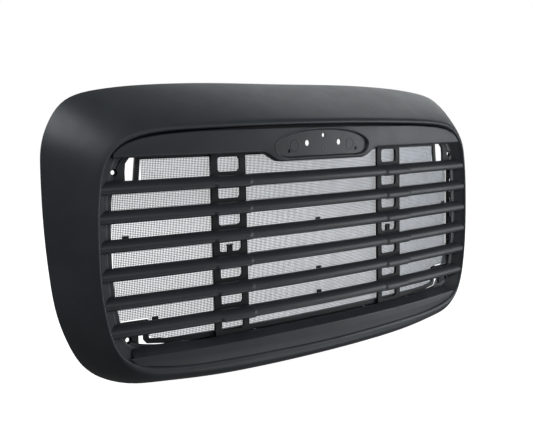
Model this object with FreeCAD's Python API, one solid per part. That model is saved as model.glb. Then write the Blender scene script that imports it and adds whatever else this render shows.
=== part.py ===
"""Front grille of a heavy highway tractor: flared surround, header and sill bars, six louvres on two
post ladders, corner plates and a rear bug screen that lifts off backwards.

Frame: +X to the viewer's right, +Z up, front faces -Y.  The origin is midway between the two upper corner
holes, on the back face of the surround's flat rim.  Units are millimetres.

Everything that faces forward follows one bow in plan, an arc about a vertical axis.  "Depth" below is the
distance behind the line of the louvre noses, measured towards that axis.
"""
import FreeCAD, Part
import math
import os

V = FreeCAD.Vector

# ---------------------------------------------------------------- driving dimensions
BOW_RADIUS = 3400.0          # plan radius of the louvre nose line
NOSE_CENTRE_Y = -62.0        # louvre nose on the middle plane
BOW_AXIS_Y = NOSE_CENTRE_Y + BOW_RADIUS

WALL = 4.0                   # wall of the surround and its rim
SKIN = 3.5                   # wall of the header, the sill and the louvres
FOLD_LEAD = 4.0              # how far the surround's front fold stands ahead of the nose line
FOLD_RADIUS = 6.0
FOLD_BEAD = 1.5              # the rounded fold may stand this far into the recess
REAR_MIDDLE_Y = 97.0         # rear edge of the surround, above and below the middle
REAR_SWEEP = 19.0            # how far the rear edge comes forward at the sides
REAR_HALF_X = 597.0
REAR_SWEEP_POWER = 8
FLANK_POWER = 1.8            # superellipse power of the flank's section, nearly a straight flare
FLANK_POWER_BELOW = 0.85     # the same under the grille, where the flank bellies out
RIM_WIDTH = 10.0             # flat rim around the back of the recess
RIM_INSET = 26.5             # recess wall: how far the rim lies inside the fold, at the sides
RIM_INSET_TOP = 16.0
RIM_INSET_BELOW = 39.5
STATION_STEPS = 26           # spacing of the planes that define the surround, per half
STATION_LAP = 3              # planes carried past the middle plane, to keep the skin smooth there

# right half of the opening (the fold) and of the rear edge, top centre to bottom centre, as (x, z)
FOLD_OUTLINE = [(0, 90), (180, 88.5), (315, 85), (402, 79.5), (455, 69), (490, 51), (512, 25), (523, -8),
                (529, -48), (533.5, -140), (532, -216), (523, -286), (512, -326), (492, -358),
                (456, -380), (400, -391.5), (218, -400), (0, -403)]
REAR_OUTLINE = [(0, 177), (198, 177), (352, 171.5), (465, 160), (538.5, 137), (574, 97), (592, 54),
                (596.5, 7), (597, -43.5), (594.5, -132.5), (587.5, -212), (573, -288), (554, -338),
                (527, -384.5), (482, -421.5), (420, -435), (218, -446), (0, -448)]

LOUVRES = 6
LOUVRE_PITCH = 55.0
LOUVRE_BASE_Z = -40.5        # lowest line of the top louvre
LOUVRE_DEPTH = 27.0
LOUVRE_SECTION = [(27, 8), (13, 1.8), (4.5, 0), (0, 6.5), (3.5, 16), (9, 22), (15.5, 24.5), (27, 21)]
LOUVRE_POCKET = [(28, 11.5), (11, 6), (6, 8.5), (8, 15.5), (14, 20), (28, 17.5)]
LOUVRE_REACH_X = 532.0       # louvres are swept this far, then trimmed by the recess wall
SADDLE_X = (194.0, 285.0)    # raised stretch where a louvre crosses a ladder
SADDLE_RAISE = 2.2
BOSS_RISE = 14.5             # height of the screw bosses above a louvre's lowest line

LADDER_X = 238.0
LADDER_WIDTH = 84.0
LADDER_TOP_Z = 46.0
LADDER_BOTTOM_Z = -365.0
LADDER_FRONT = LOUVRE_DEPTH + 0.25
LADDER_THICK = 6.0
WINDOW_WIDTH = 53.0
WINDOW_HEIGHT = 30.0
WINDOW_BASE_Z = -9.5
WINDOW_PITCH = 55.2
WINDOW_RADIUS = 7.0
WINDOWS = 7
LADDER_END_SCREWS = (37.0, -354.0)    # heights of the screws into the header and the sill

HEADER_ARCH = [(0, 79), (180, 77.5), (350, 73.5), (415, 68), (455, 60), (483, 48), (497, 36)]
HEADER_LOWER_Z = 27.0
HEADER_TIP_X = 490.0
HEADER_DEPTH = 20.0
DIP_Z = 6.0                  # header's lower edge under the emblem recess
DIP_INNER_X = 118.0
DIP_OUTER_X = 172.0
EMBLEM_HALF_X = 134.0
EMBLEM_DEPTH = 6.0
EMBLEM_TOP_Z = 72.0
EMBLEM_BOTTOM_Z = 14.5
EMBLEM_STUD = (46.5, 43.0, 6.6)      # x, z and radius of the two through holes
EMBLEM_LOCATOR = (98.0, 27.5, 3.7)   # two blind locating holes
EMBLEM_TOP_HOLE = (0.0, 59.0, 4.8)
LOCATOR_DEPTH = 2.5

SILL_TOP_Z = -361.0
SILL_CREST_Z = -349.0
SILL_CREST_DEPTH = 20.0
SILL_UNDER = [(481, -356), (470, -368), (430, -380), (380, -387.5), (215, -396.5), (0, -399.5)]
SILL_END_ARC = [(481, -356), (477.5, -350.5), (468, -347)]    # rounds off the crest at the sill's ends

UPPER_HOLE_X = 486.0
LOWER_HOLE_X = 470.0
LOWER_HOLE_Z = -326.5
CORNER_HOLE_RADIUS = 4.5
CORNER_SEAT_RADIUS = 7.5     # clear seat round a corner hole, through the rim to the plate's flange
PLATE_FLANGE = 3.0
UPPER_PLATE_X = 463.0
LOWER_PLATE_X = 448.0

SCREEN_FRONT = 33.9          # depth of the screen frame's front face
SCREEN_THICK = 6.0
SCREEN_RAIL = 10.0
MESH_FRONT = 36.5
MESH_THICK = 0.9
SCREEN_OUTLINE = [(436, 32), (442, -22), (506, -22), (506, -303), (433, -303), (433, -333), (427, -341),
                  (385, -346.5), (300, -348.5)]

SCREW_RADIUS = 2.0
SCREW_HEAD_RADIUS = 4.5
SCREW_HEAD = 2.2
SCREW_HOLE_RADIUS = SCREW_RADIUS + 0.2
PILOT_RADIUS = SCREW_RADIUS + 0.05
BOSS_RADIUS = 4.4
BOSS_SHORT = 0.5             # a louvre's boss stops this far short of the ladder
BOSS_PILOT_DEPTH = 12.0      # a ladder screw's pilot hole starts this far behind the nose
LADDER_SCREW_LENGTH = 18.0
END_SCREW_LENGTH = 12.0      # through the rim into a louvre's solid end
END_PILOT_DEPTH = 15.0
LOUVRE_SOLID_END = 12.0      # the pocket stops this far short of the end screw
RIM_SCREW_LENGTH = 14.0      # through the rim into the header or the sill
RIM_PILOT_DEPTH = 12.0
RIM_SCREW_X = (165.0, 320.0)    # screws through the rim into the header, and into the sill
GAP = 0.5                    # working gap between neighbouring mouldings
PLATE_GAP = 1.0              # gap round the corner plates
CONTACT = 0.1                # gap left between faces that bear on each other
CLEAR = 60.0                 # reach of cutting tools past the body they cut

PEG_RADIUS = 2.4
PEG_SOCKET_DEPTH = 3.0
PEG_HEIGHTS = (-62.0, -152.0, -228.0)
PAD_HEIGHTS = (-108.5, -174.0, -210.0)
PAD_WIDTH = 7.0
PAD_TALL = 16.0
PAD_ROUND = 1.5
SIDE_RAIL_X = 500.2

TAB_WIDTH = 13.0
TAB_THICK = 2.7
TAB_STANDOFF = 0.3
TAB_RISE = (9.0, 27.5)       # heights of a tab's two ends above its louvre's lowest line
TAB_PLACES = [(2, -470), (2, 470), (2, 0), (4, 0), (5, 0), (5, -415), (5, 425)]   # louvre, x
CLIP_WIDTH = 11.4
CLIP_WINDOW = 3
CLIP_FOOT = 9.0              # how far the clip hangs behind the rung
CLIP_RISE = 13.0             # how far its tongue stands up in the window
CLIP_SLOT_WIDTH = 2.6


# ---------------------------------------------------------------- small helpers
def nose_y(x):
    return BOW_AXIS_Y - math.sqrt(BOW_RADIUS ** 2 - x ** 2)


def bow_angle(x, depth=0.0):
    return math.degrees(math.asin(x / (BOW_RADIUS - depth)))


def turned(shape, x, depth=0.0):
    """A shape made on the middle plane, carried round the bow to the plan position x."""
    copy = shape.copy()
    copy.rotate(V(0, BOW_AXIS_Y, 0), V(0, 0, 1), bow_angle(x, depth))
    return copy


def mirrored(shape):
    return shape.mirror(V(0, 0, 0), V(1, 0, 0))


def both_sides(shape):
    return [shape, mirrored(shape)]


def on_ladders(shape):
    """Two copies of a middle-plane shape, carried round the bow to the ladders."""
    return [turned(shape, side * LADDER_X) for side in (-1, 1)]


def fused(shapes):
    body = shapes[0]
    if len(shapes) > 1:
        body = body.fuse(shapes[1:])
    return body.removeSplitter()


def polygon(points):
    return Part.makePolygon(points + points[:1])


def spline(points):
    curve = Part.BSplineCurve()
    curve.interpolate(Points=points)
    return curve.toShape()


def front_view(points):
    return [V(x, 0, z) for x, z in points]


def symmetric_loop(half, **options):
    """Closed smooth front-view curve through half, top centre to bottom centre, and its mirror image."""
    points = half + [(-x, z) for x, z in half[-2:0:-1]]
    curve = Part.BSplineCurve()
    curve.interpolate(Points=front_view(points), PeriodicFlag=True, **options)
    return curve


def prism(wire, y_from=-1.5 * CLEAR, y_to=CLEAR):
    """Extrude a closed front-view wire, drawn at y = 0, between two depths."""
    face = Part.Face(wire)
    face.translate(V(0, y_from, 0))
    return face.extrude(V(0, y_to - y_from, 0))


def box(x0, x1, y0, y1, z0, z1):
    return Part.makeBox(x1 - x0, y1 - y0, z1 - z0, V(x0, y0, z0))


def rod(radius, x, y_from, y_to, z):
    return Part.makeCylinder(radius, y_to - y_from, V(x, y_from, z), V(0, 1, 0))


def bowed(wire, x_from, x_to):
    """Revolve a section, drawn as (0, y, z), about the bow axis between two plan positions."""
    face = Part.Face(wire)
    start = bow_angle(x_from)
    face.rotate(V(0, BOW_AXIS_Y, 0), V(0, 0, 1), start)
    return face.revolve(V(0, BOW_AXIS_Y, 0), V(0, 0, 1), bow_angle(x_to) - start)


def section(points):
    return [V(0, NOSE_CENTRE_Y + depth, z) for depth, z in points]


def slab(depth_from, depth_to, z_from, z_to, reach=LOUVRE_REACH_X):
    corners = [(depth_from, z_from), (depth_to, z_from), (depth_to, z_to), (depth_from, z_to)]
    return bowed(polygon(section(corners)), -reach, reach)


def screw(x, y_head, z, length):
    """Pan-head screw driven forward from behind: head behind y_head, shank in front of it."""
    head = rod(SCREW_HEAD_RADIUS, x, y_head, y_head + SCREW_HEAD, z)
    shank = rod(SCREW_RADIUS, x, y_head - length, y_head, z)
    return head.fuse(shank)


def rim_space():
    """Everything behind the front face of the flat rim, where the bars may not reach."""
    low, high = REAR_OUTLINE[-1][1], REAR_OUTLINE[0][1]
    return box(-LOUVRE_REACH_X, LOUVRE_REACH_X, -WALL - CONTACT, CLEAR, low, high)


def export(node, solids):
    shape = solids[0] if len(solids) == 1 else Part.makeCompound(solids)
    shape.exportStep("parts/" + node + ".step")
    print(node, "solids", len(shape.Solids), "valid", shape.isValid(), "cm3", round(shape.Volume / 1000.0, 1))


# ---------------------------------------------------------------- surround
def rear_edge_y(x):
    return REAR_MIDDLE_Y - REAR_SWEEP * (abs(x) / REAR_HALF_X) ** REAR_SWEEP_POWER


class Station:
    """One plane through the surround, square to the fold: s runs outward from the fold, y backward."""

    def __init__(self, fold, rear):
        self.fold = (fold.x, fold.z)
        self.reach = math.hypot(rear.x - fold.x, rear.z - fold.z)
        self.out = ((rear.x - fold.x) / self.reach, (rear.z - fold.z) / self.reach)
        self.front_y = nose_y(fold.x) - FOLD_LEAD
        self.rear_y = rear_edge_y(rear.x)
        above = max(self.out[1], 0) ** 2
        below = max(-self.out[1], 0) ** 2
        self.inset = RIM_INSET + (RIM_INSET_TOP - RIM_INSET) * above + (RIM_INSET_BELOW - RIM_INSET) * below
        self.power = FLANK_POWER + (FLANK_POWER_BELOW - FLANK_POWER) * below

    def place(self, s, y):
        return V(self.fold[0] + s * self.out[0], y, self.fold[1] + s * self.out[1])

    def flank(self, turn, inward=0.0):
        """Point of the flank, a quarter superellipse: turn 0 at the fold, 90 degrees at the rear edge."""
        sine = math.sin(math.radians(turn))
        cosine = math.cos(math.radians(turn))
        depth = self.rear_y - self.front_y
        s = self.reach * sine ** self.power
        y = self.front_y + depth * (1 - cosine ** self.power)
        normal_s = depth * sine * cosine ** (self.power - 1)
        normal_y = -self.reach * cosine * sine ** (self.power - 1)
        size = math.hypot(normal_s, normal_y)
        return self.place(s - inward * normal_s / size, y - inward * normal_y / size)

    def wall_slope(self):
        """Unit direction of the recess wall, from the fold towards the rim."""
        run = self.inset - FOLD_RADIUS
        fall = -WALL - (self.front_y + FOLD_RADIUS)
        size = math.hypot(run, fall)
        return -run / size, fall / size

    def profile(self):
        ds, dy = self.wall_slope()
        turns = (10, 25, 42, 60, 76, 90)
        outer = [self.flank(turn) for turn in turns]
        inner = [self.flank(turn, WALL) for turn in turns]
        wall_top = self.place(-FOLD_RADIUS, self.front_y + FOLD_RADIUS)
        fold_front = self.place(-0.5, self.front_y)
        rim_out = self.place(-self.inset, -WALL)
        rim_in = self.place(-self.inset - RIM_WIDTH, -WALL)
        rim_in_back = self.place(-self.inset - RIM_WIDTH, 0)
        rim_out_back = self.place(-self.inset + WALL * dy + ds / dy * WALL * (1 + ds), 0)
        wall_back = self.place(-FOLD_RADIUS + WALL * dy, self.front_y + FOLD_RADIUS - WALL * ds)
        edges = [Part.LineSegment(rim_in, rim_out).toShape(),
                 Part.LineSegment(rim_out, wall_top).toShape(),
                 Part.Arc(wall_top, fold_front, outer[0]).toShape(),
                 spline(outer),
                 Part.LineSegment(outer[-1], inner[-1]).toShape(),
                 spline(inner[::-1]),
                 Part.LineSegment(inner[0], wall_back).toShape(),
                 Part.LineSegment(wall_back, rim_out_back).toShape(),
                 Part.LineSegment(rim_out_back, rim_in_back).toShape(),
                 Part.LineSegment(rim_in_back, rim_in).toShape()]
        return Part.Wire(edges)

    def keepout(self):
        """Section of everything outside the recess wall, used to trim what butts against it."""
        near = -FOLD_RADIUS - GAP - FOLD_BEAD
        foot = -self.inset - GAP
        wall_top = self.front_y + FOLD_RADIUS
        corners = [(near, wall_top - CLEAR), (near, wall_top), (foot, -WALL),
                   (foot, CLEAR), (CLEAR, CLEAR), (CLEAR, wall_top - CLEAR)]
        return polygon([self.place(s, y) for s, y in corners])


def make_stations(first, last):
    """Evenly spaced stations along the fold: step 0 at the top centre, STATION_STEPS at the bottom centre."""
    lengths = [0.0]
    for start, end in zip(FOLD_OUTLINE, FOLD_OUTLINE[1:]):
        lengths.append(lengths[-1] + math.dist(start, end))
    around = 2 * lengths[-1]
    lengths += [around - length for length in lengths[-2::-1]]
    fold = symmetric_loop(FOLD_OUTLINE, Parameters=lengths)
    rear = symmetric_loop(REAR_OUTLINE, Parameters=lengths)
    stations = []
    for step in range(first, last + 1):
        at = (around * step / (2 * STATION_STEPS)) % around
        stations.append(Station(fold.value(at), rear.value(at)))
    return stations


STATIONS = make_stations(0, STATION_STEPS)
LOFT_STATIONS = make_stations(-STATION_LAP, STATION_STEPS + STATION_LAP)


def rim_points(inset):
    return [station.place(-station.inset - inset, 0) for station in STATIONS]


def rim_wire(inset):
    """Closed front-view outline that lies inset inside the recess wall's foot."""
    half = [(point.x, point.z) for point in rim_points(inset)]
    return Part.Wire(symmetric_loop(half).toShape())


def rim_middle_x(z):
    """Plan position of the middle of the flat rim, on the right, at the height z."""
    points = rim_points(RIM_WIDTH / 2)
    for above, below in zip(points, points[1:]):
        if above.z >= z > below.z:
            return above.x + (below.x - above.x) * (above.z - z) / (above.z - below.z)


def rim_middle_z(x, at_top):
    """Height of the middle of the flat rim above, or below, the plan position x."""
    points = rim_points(RIM_WIDTH / 2)
    if not at_top:
        points.reverse()
    for inner, outer in zip(points, points[1:]):
        if inner.x <= x < outer.x:
            return inner.z + (outer.z - inner.z) * (x - inner.x) / (outer.x - inner.x)


def rim_screw_places(at_top):
    return [(x, rim_middle_z(x, at_top)) for x in RIM_SCREW_X]


def free_edges(shell):
    counts = [(edge, sum(edge.isSame(other) for face in shell.Faces for other in face.Edges))
              for edge in shell.Edges]
    return [edge for edge, count in counts if count == 1]


def right_half():
    reach = 2 * REAR_HALF_X
    return box(0, reach, -reach, reach, -reach, reach)


def loop_solid(wires):
    """Solid ring: a skin lofted through open sections, trimmed to the right half, closed and mirrored."""
    skin = Part.makeLoft([Part.Wire(wire.OrderedEdges[:-1]) for wire in wires], False, False)
    skin = skin.common(right_half())
    section_length = max(wire.Length for wire in wires)
    long_edges = [edge for edge in free_edges(skin) if edge.Length > section_length]
    faces = skin.Faces + Part.makeRuledSurface(long_edges[0], long_edges[1]).Faces
    shell = Part.makeShell(faces + [mirrored(face) for face in faces])
    shell.sewShape()
    return Part.makeSolid(shell)


def louvre_base(index):
    return LOUVRE_BASE_Z - index * LOUVRE_PITCH


def peg_places():
    return [(side * SIDE_RAIL_X, z) for side in (-1, 1) for z in PEG_HEIGHTS]


def surround():
    shell = loop_solid([station.profile() for station in LOFT_STATIONS])
    holes = []
    for index in range(LOUVRES):
        z = louvre_base(index) + BOSS_RISE
        holes += both_sides(rod(SCREW_HOLE_RADIUS, rim_middle_x(z), -WALL - 1, 1, z))
    for x, z in rim_screw_places(True) + rim_screw_places(False):
        holes += both_sides(rod(SCREW_HOLE_RADIUS, x, -WALL - 1, 1, z))
    for x, z in ((UPPER_HOLE_X, 0.0), (LOWER_HOLE_X, LOWER_HOLE_Z)):
        holes += both_sides(rod(CORNER_SEAT_RADIUS, x, -WALL - 1, 1, z))
    for x, z in peg_places():
        holes.append(rod(PEG_RADIUS + 0.05, x, -PEG_SOCKET_DEPTH, 1, z))
    return shell.cut(holes)


# ---------------------------------------------------------------- louvres and ladders
def louvre_wire(points, base, raise_by=0.0):
    placed = []
    for depth, rise in points:
        lift = 0.0
        if depth < LOUVRE_DEPTH:
            lift = raise_by
        placed.append((depth - lift * (1 - depth / LOUVRE_DEPTH), base + rise - 0.4 * lift))
    corners = section(placed)
    return Part.Wire([spline(corners), Part.LineSegment(corners[-1], corners[0]).toShape()])


def louvre(index, keepout):
    base = louvre_base(index)
    z = base + BOSS_RISE
    end_x = rim_middle_x(z)
    inner_x, outer_x = SADDLE_X
    plain = louvre_wire(LOUVRE_SECTION, base)
    raised = louvre_wire(LOUVRE_SECTION, base, SADDLE_RAISE)
    ends = both_sides(bowed(plain, outer_x, LOUVRE_REACH_X))
    saddles = both_sides(bowed(raised, inner_x, outer_x))
    body = bowed(plain, -inner_x, inner_x).fuse(saddles + ends)
    pocket = [(depth, base + rise) for depth, rise in LOUVRE_POCKET]
    pocket_x = end_x - LOUVRE_SOLID_END
    body = body.cut(bowed(polygon(section(pocket)), -pocket_x, pocket_x))
    boss = rod(BOSS_RADIUS, 0, NOSE_CENTRE_Y + 7, NOSE_CENTRE_Y + LOUVRE_DEPTH - BOSS_SHORT, z)
    body = body.fuse(on_ladders(boss))
    body = body.cut(on_ladders(rod(PILOT_RADIUS, 0, NOSE_CENTRE_Y + BOSS_PILOT_DEPTH, 0, z)))
    body = body.cut(keepout + [rim_space()])
    body = body.cut(both_sides(rod(PILOT_RADIUS, end_x, -END_PILOT_DEPTH, 0, z)))
    return body.removeSplitter()


def window_cutter(index):
    base = WINDOW_BASE_Z - index * WINDOW_PITCH
    half = WINDOW_WIDTH / 2
    hole = box(-half, half, NOSE_CENTRE_Y, NOSE_CENTRE_Y + CLEAR, base, base + WINDOW_HEIGHT)
    corners = [edge for edge in hole.Edges
               if abs(edge.Vertexes[0].Y - edge.Vertexes[1].Y) > 1]
    return hole.makeFillet(WINDOW_RADIUS, corners)


def ladder_screw_heights():
    heights = [louvre_base(index) + BOSS_RISE for index in range(LOUVRES)]
    return heights + list(LADDER_END_SCREWS)


def ladder(side):
    body = slab(LADDER_FRONT, LADDER_FRONT + LADDER_THICK, LADDER_BOTTOM_Z, LADDER_TOP_Z, LADDER_WIDTH / 2)
    body = body.cut([window_cutter(index) for index in range(WINDOWS)])
    holes = [rod(SCREW_HOLE_RADIUS, 0, NOSE_CENTRE_Y, NOSE_CENTRE_Y + CLEAR, z)
             for z in ladder_screw_heights()]
    return turned(body.cut(holes), side * LADDER_X)


def ladder_screws():
    back = NOSE_CENTRE_Y + LADDER_FRONT + LADDER_THICK + CONTACT
    screws = []
    for z in ladder_screw_heights():
        screws += on_ladders(screw(0, back, z, LADDER_SCREW_LENGTH))
    return screws


def louvre_end_screws():
    screws = []
    for index in range(LOUVRES):
        z = louvre_base(index) + BOSS_RISE
        screws += both_sides(screw(rim_middle_x(z), 0, z, END_SCREW_LENGTH))
    return screws


def rung_clip(side):
    """Spring clip that hooks over the rung under one window and stands up in the window."""
    base = WINDOW_BASE_Z - CLIP_WINDOW * WINDOW_PITCH
    back = NOSE_CENTRE_Y + LADDER_FRONT + LADDER_THICK
    half = CLIP_WIDTH / 2
    foot = box(-half, half, back + CONTACT, back + 2.1, base - CLIP_FOOT, base + CONTACT)
    tongue = box(-half, half, back - 4, back + 2.1, base + CONTACT, base + CLIP_RISE)
    head = box(-half - 1.2, half + 1.2, back - 4, back + 1, base + CLIP_RISE - 1.5, base + CLIP_RISE + 1.4)
    slot = box(-CLIP_SLOT_WIDTH / 2, CLIP_SLOT_WIDTH / 2, back - 6, back + 4, base + 4, base + CLIP_RISE + 3)
    return turned(fused([foot, tongue, head]).cut(slot), side * LADDER_X)


def louvre_tabs():
    front = NOSE_CENTRE_Y + LOUVRE_DEPTH + TAB_STANDOFF
    half = TAB_WIDTH / 2
    low, high = TAB_RISE
    tabs = []
    for index, x in TAB_PLACES:
        base = louvre_base(index)
        tabs.append(turned(box(-half, half, front, front + TAB_THICK, base + low, base + high), x))
    return tabs


# ---------------------------------------------------------------- header and sill
def header_outline(inset=0.0):
    """Arched top, straight lower edge with a shallow dip under the emblem recess."""
    arch = [V(x * (1 - inset / 300), 0, z - inset) for x, z in HEADER_ARCH]
    tip = V(HEADER_TIP_X - inset * 4, 0, HEADER_LOWER_Z + inset)
    top = spline(arch)
    low = HEADER_LOWER_Z + inset
    dip = DIP_Z + inset
    shoulder = V(DIP_OUTER_X, 0, low)
    foot = V(DIP_INNER_X, 0, dip)
    curve = Part.BezierCurve()
    curve.setPoles([shoulder, V(DIP_OUTER_X - 22, 0, low), V(DIP_INNER_X + 26, 0, dip), foot])
    half = [top,
            Part.LineSegment(arch[-1], tip).toShape(),
            Part.LineSegment(tip, shoulder).toShape(),
            curve.toShape(),
            Part.LineSegment(foot, V(0, 0, dip)).toShape()]
    return Part.Wire(Part.__sortEdges__(half + [mirrored(edge) for edge in half]))


def emblem_outline(grow=0.0):
    """Rounded trapezium: gently arched top, rounded ends, straight bottom."""
    side = EMBLEM_HALF_X + grow
    top = EMBLEM_TOP_Z + grow
    low = EMBLEM_BOTTOM_Z - grow
    points = [(0, top), (70, top - 4.5), (side - 18, top - 17), (side, top - 33),
              (side - 5, low + 10), (side - 26, low + 1), (70, low), (0, low)]
    return Part.Wire(symmetric_loop(points).toShape())


def header(keepout):
    tray = prism(header_outline()).common(slab(0, HEADER_DEPTH, 0, 100))
    hollow = prism(header_outline(SKIN)).common(slab(SKIN, HEADER_DEPTH + 1, 0, 100))
    body = tray.cut([hollow] + keepout)
    rim = prism(emblem_outline(SKIN)).common(slab(0.5, EMBLEM_DEPTH + SKIN, 0, 100))
    body = body.fuse(rim).cut(prism(emblem_outline()).common(slab(-1, EMBLEM_DEPTH, 0, 100)))
    screw_z = LADDER_END_SCREWS[0]
    bosses = on_ladders(rod(BOSS_RADIUS, 0, NOSE_CENTRE_Y + 2, NOSE_CENTRE_Y + LOUVRE_DEPTH, screw_z))
    pilots = on_ladders(rod(PILOT_RADIUS, 0, NOSE_CENTRE_Y + BOSS_PILOT_DEPTH, 0, screw_z))
    for x, z in rim_screw_places(True):
        bosses += both_sides(rod(BOSS_RADIUS, x, nose_y(x) + 2.5, -WALL - CONTACT, z))
        pilots += both_sides(rod(PILOT_RADIUS, x, -WALL - RIM_PILOT_DEPTH, 0, z))
    body = body.fuse(bosses).cut(pilots)
    stud_x, stud_z, stud_radius = EMBLEM_STUD
    loc_x, loc_z, loc_radius = EMBLEM_LOCATOR
    top_x, top_z, top_radius = EMBLEM_TOP_HOLE
    holes = both_sides(rod(stud_radius, stud_x, -80, -20, stud_z))
    holes += both_sides(rod(loc_radius, loc_x, -80, nose_y(loc_x) + EMBLEM_DEPTH + LOCATOR_DEPTH, loc_z))
    holes.append(rod(top_radius, top_x, -80, -20, top_z))
    return body.cut(holes).removeSplitter()


def sill_outline():
    end_arc = front_view(SILL_END_ARC)
    top = end_arc[-1]
    half = [spline(front_view(SILL_UNDER)),
            Part.Arc(*end_arc).toShape(),
            Part.LineSegment(top, V(0, 0, top.z)).toShape()]
    return Part.Wire(Part.__sortEdges__(half + [mirrored(edge) for edge in half]))


def sill(keepout):
    low = SILL_UNDER[-1][1] - 5.5
    corners = [(0, low), (0, SILL_TOP_Z), (SILL_CREST_DEPTH, SILL_CREST_Z),
               (LOUVRE_DEPTH, SILL_CREST_Z), (LOUVRE_DEPTH, SILL_CREST_Z - SKIN),
               (SILL_CREST_DEPTH + 1, SILL_CREST_Z - SKIN), (SKIN, SILL_TOP_Z - 1.5), (SKIN, low)]
    body = bowed(polygon(section(corners)), -LOUVRE_REACH_X, LOUVRE_REACH_X)
    body = body.common(prism(sill_outline()))
    screw_z = LADDER_END_SCREWS[1]
    bosses = on_ladders(rod(BOSS_RADIUS, 0, NOSE_CENTRE_Y + 12.5, NOSE_CENTRE_Y + LOUVRE_DEPTH, screw_z))
    pilots = on_ladders(rod(PILOT_RADIUS, 0, NOSE_CENTRE_Y + 13.5, 0, screw_z))
    for x, z in rim_screw_places(False):
        bosses += both_sides(rod(BOSS_RADIUS, x, nose_y(x) + 9, -WALL - CONTACT, z))
        pilots += both_sides(rod(PILOT_RADIUS, x, -WALL - RIM_PILOT_DEPTH, 0, z))
    body = body.cut(keepout + [rim_space()])
    return body.fuse(bosses).cut(pilots).removeSplitter()


def rim_screws(at_top):
    screws = []
    for x, z in rim_screw_places(at_top):
        screws += both_sides(screw(x, 0, z, RIM_SCREW_LENGTH))
    return screws


# ---------------------------------------------------------------- corner plates
def corner_plate(points, hole_x, hole_z):
    """Flush plate inside the rim, with a flange that laps behind the rim."""
    blank = polygon(front_view(points))
    flush = prism(blank, -WALL, PLATE_FLANGE).common(prism(rim_wire(RIM_WIDTH + PLATE_GAP)))
    flush = flush.cut(rod(CORNER_SEAT_RADIUS, hole_x, -WALL - 1, CONTACT, hole_z))
    lap = prism(blank, CONTACT, PLATE_FLANGE).common(prism(rim_wire(PLATE_GAP)))
    plate = flush.fuse(lap).cut(rod(CORNER_HOLE_RADIUS, hole_x, -CLEAR, CLEAR, hole_z))
    return plate.removeSplitter()


def upper_plate():
    x = UPPER_PLATE_X
    points = [(x, -20), (x, 0), (x - 2, 16), (x - 14, 30), (x - 34, 42), (x - 34, 60), (560, 60), (560, -20)]
    return corner_plate(points, UPPER_HOLE_X, 0.0)


def lower_plate():
    x = LOWER_PLATE_X
    points = [(x, -306), (x, -336), (x - 8, -345), (x - 24, -355), (x - 24, -380), (560, -380), (560, -306)]
    return corner_plate(points, LOWER_HOLE_X, LOWER_HOLE_Z)


# ---------------------------------------------------------------- bug screen
def screen_prism(inset):
    """Screen outline moved in by inset all round."""
    loop = SCREEN_OUTLINE + [(-x, z) for x, z in reversed(SCREEN_OUTLINE)]
    outline = Part.Wire(polygon(front_view(loop)))
    if inset:
        outline = outline.makeOffset2D(-inset, 2)
    return prism(outline)


def screen_frame():
    band = slab(SCREEN_FRONT, SCREEN_FRONT + SCREEN_THICK, -360, 40)
    frame = screen_prism(0).common(band).cut(screen_prism(SCREEN_RAIL))
    return frame.removeSplitter()


def screen_mesh():
    band = slab(MESH_FRONT, MESH_FRONT + MESH_THICK, -360, 40)
    return screen_prism(SCREEN_RAIL + 0.05).common(band)


def rail_front_y(x):
    return BOW_AXIS_Y - math.sqrt((BOW_RADIUS - SCREEN_FRONT) ** 2 - x ** 2)


def screen_pegs():
    pegs = []
    for x, z in peg_places():
        rail = rail_front_y(abs(x) - PEG_RADIUS)
        shank = rod(PEG_RADIUS, x, -PEG_SOCKET_DEPTH + 0.4, rail - 0.3, z)
        collar = rod(PEG_RADIUS * 1.8, x, 2.6, rail - 0.3, z)
        pegs.append(shank.fuse(collar))
    return pegs


def screen_pads():
    x_from = SIDE_RAIL_X - PAD_WIDTH / 2
    thick = rail_front_y(x_from) - 0.4
    pads = []
    for z in PAD_HEIGHTS:
        pad = box(x_from, x_from + PAD_WIDTH, 0.05, thick, z - PAD_TALL / 2, z + PAD_TALL / 2)
        rear_edges = [edge for edge in pad.Edges if edge.BoundBox.YMin > thick - 1]
        pads += both_sides(pad.makeFillet(PAD_ROUND, rear_edges))
    return pads


# ---------------------------------------------------------------- build
def main():
    os.makedirs("parts", exist_ok=True)
    outside = Part.makeLoft([station.keepout() for station in LOFT_STATIONS], True, False)
    keepout = both_sides(outside.common(right_half()))
    export("surround_shell", [surround()])
    export("header_bar", [header(keepout)])
    export("sill_bar", [sill(keepout)])
    for index in range(LOUVRES):
        export("louvre_%d" % (index + 1), [louvre(index, keepout)])
    for name, side in (("left", -1), ("right", 1)):
        export("ladder_" + name, [ladder(side)])
        export("rung_clip_" + name, [rung_clip(side)])
    for name, plate in (("upper", upper_plate()), ("lower", lower_plate())):
        export("corner_plate_%s_right" % name, [plate])
        export("corner_plate_%s_left" % name, [mirrored(plate)])
    export("screen_frame", [screen_frame()])
    export("screen_mesh", [screen_mesh()])
    export("screen_pegs", screen_pegs())
    export("screen_pads", screen_pads())
    export("louvre_tabs", louvre_tabs())
    export("ladder_screws", ladder_screws())
    export("louvre_end_screws", louvre_end_screws())
    export("header_screws", rim_screws(True))
    export("sill_screws", rim_screws(False))


main()
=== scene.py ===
"""Looks of the front grille: moulded surround, header, sill, louvres, post ladders and woven bug screen.

Every length is in metres in the shared frame: +X to the viewer's right, +Z up, the front faces -Y.
"Depth" is the distance behind the bowed line of the louvre noses, measured towards the bow's axis.
"""

import math

import bmesh
import bpy
import numpy as np
from mathutils import Matrix, Vector

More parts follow.
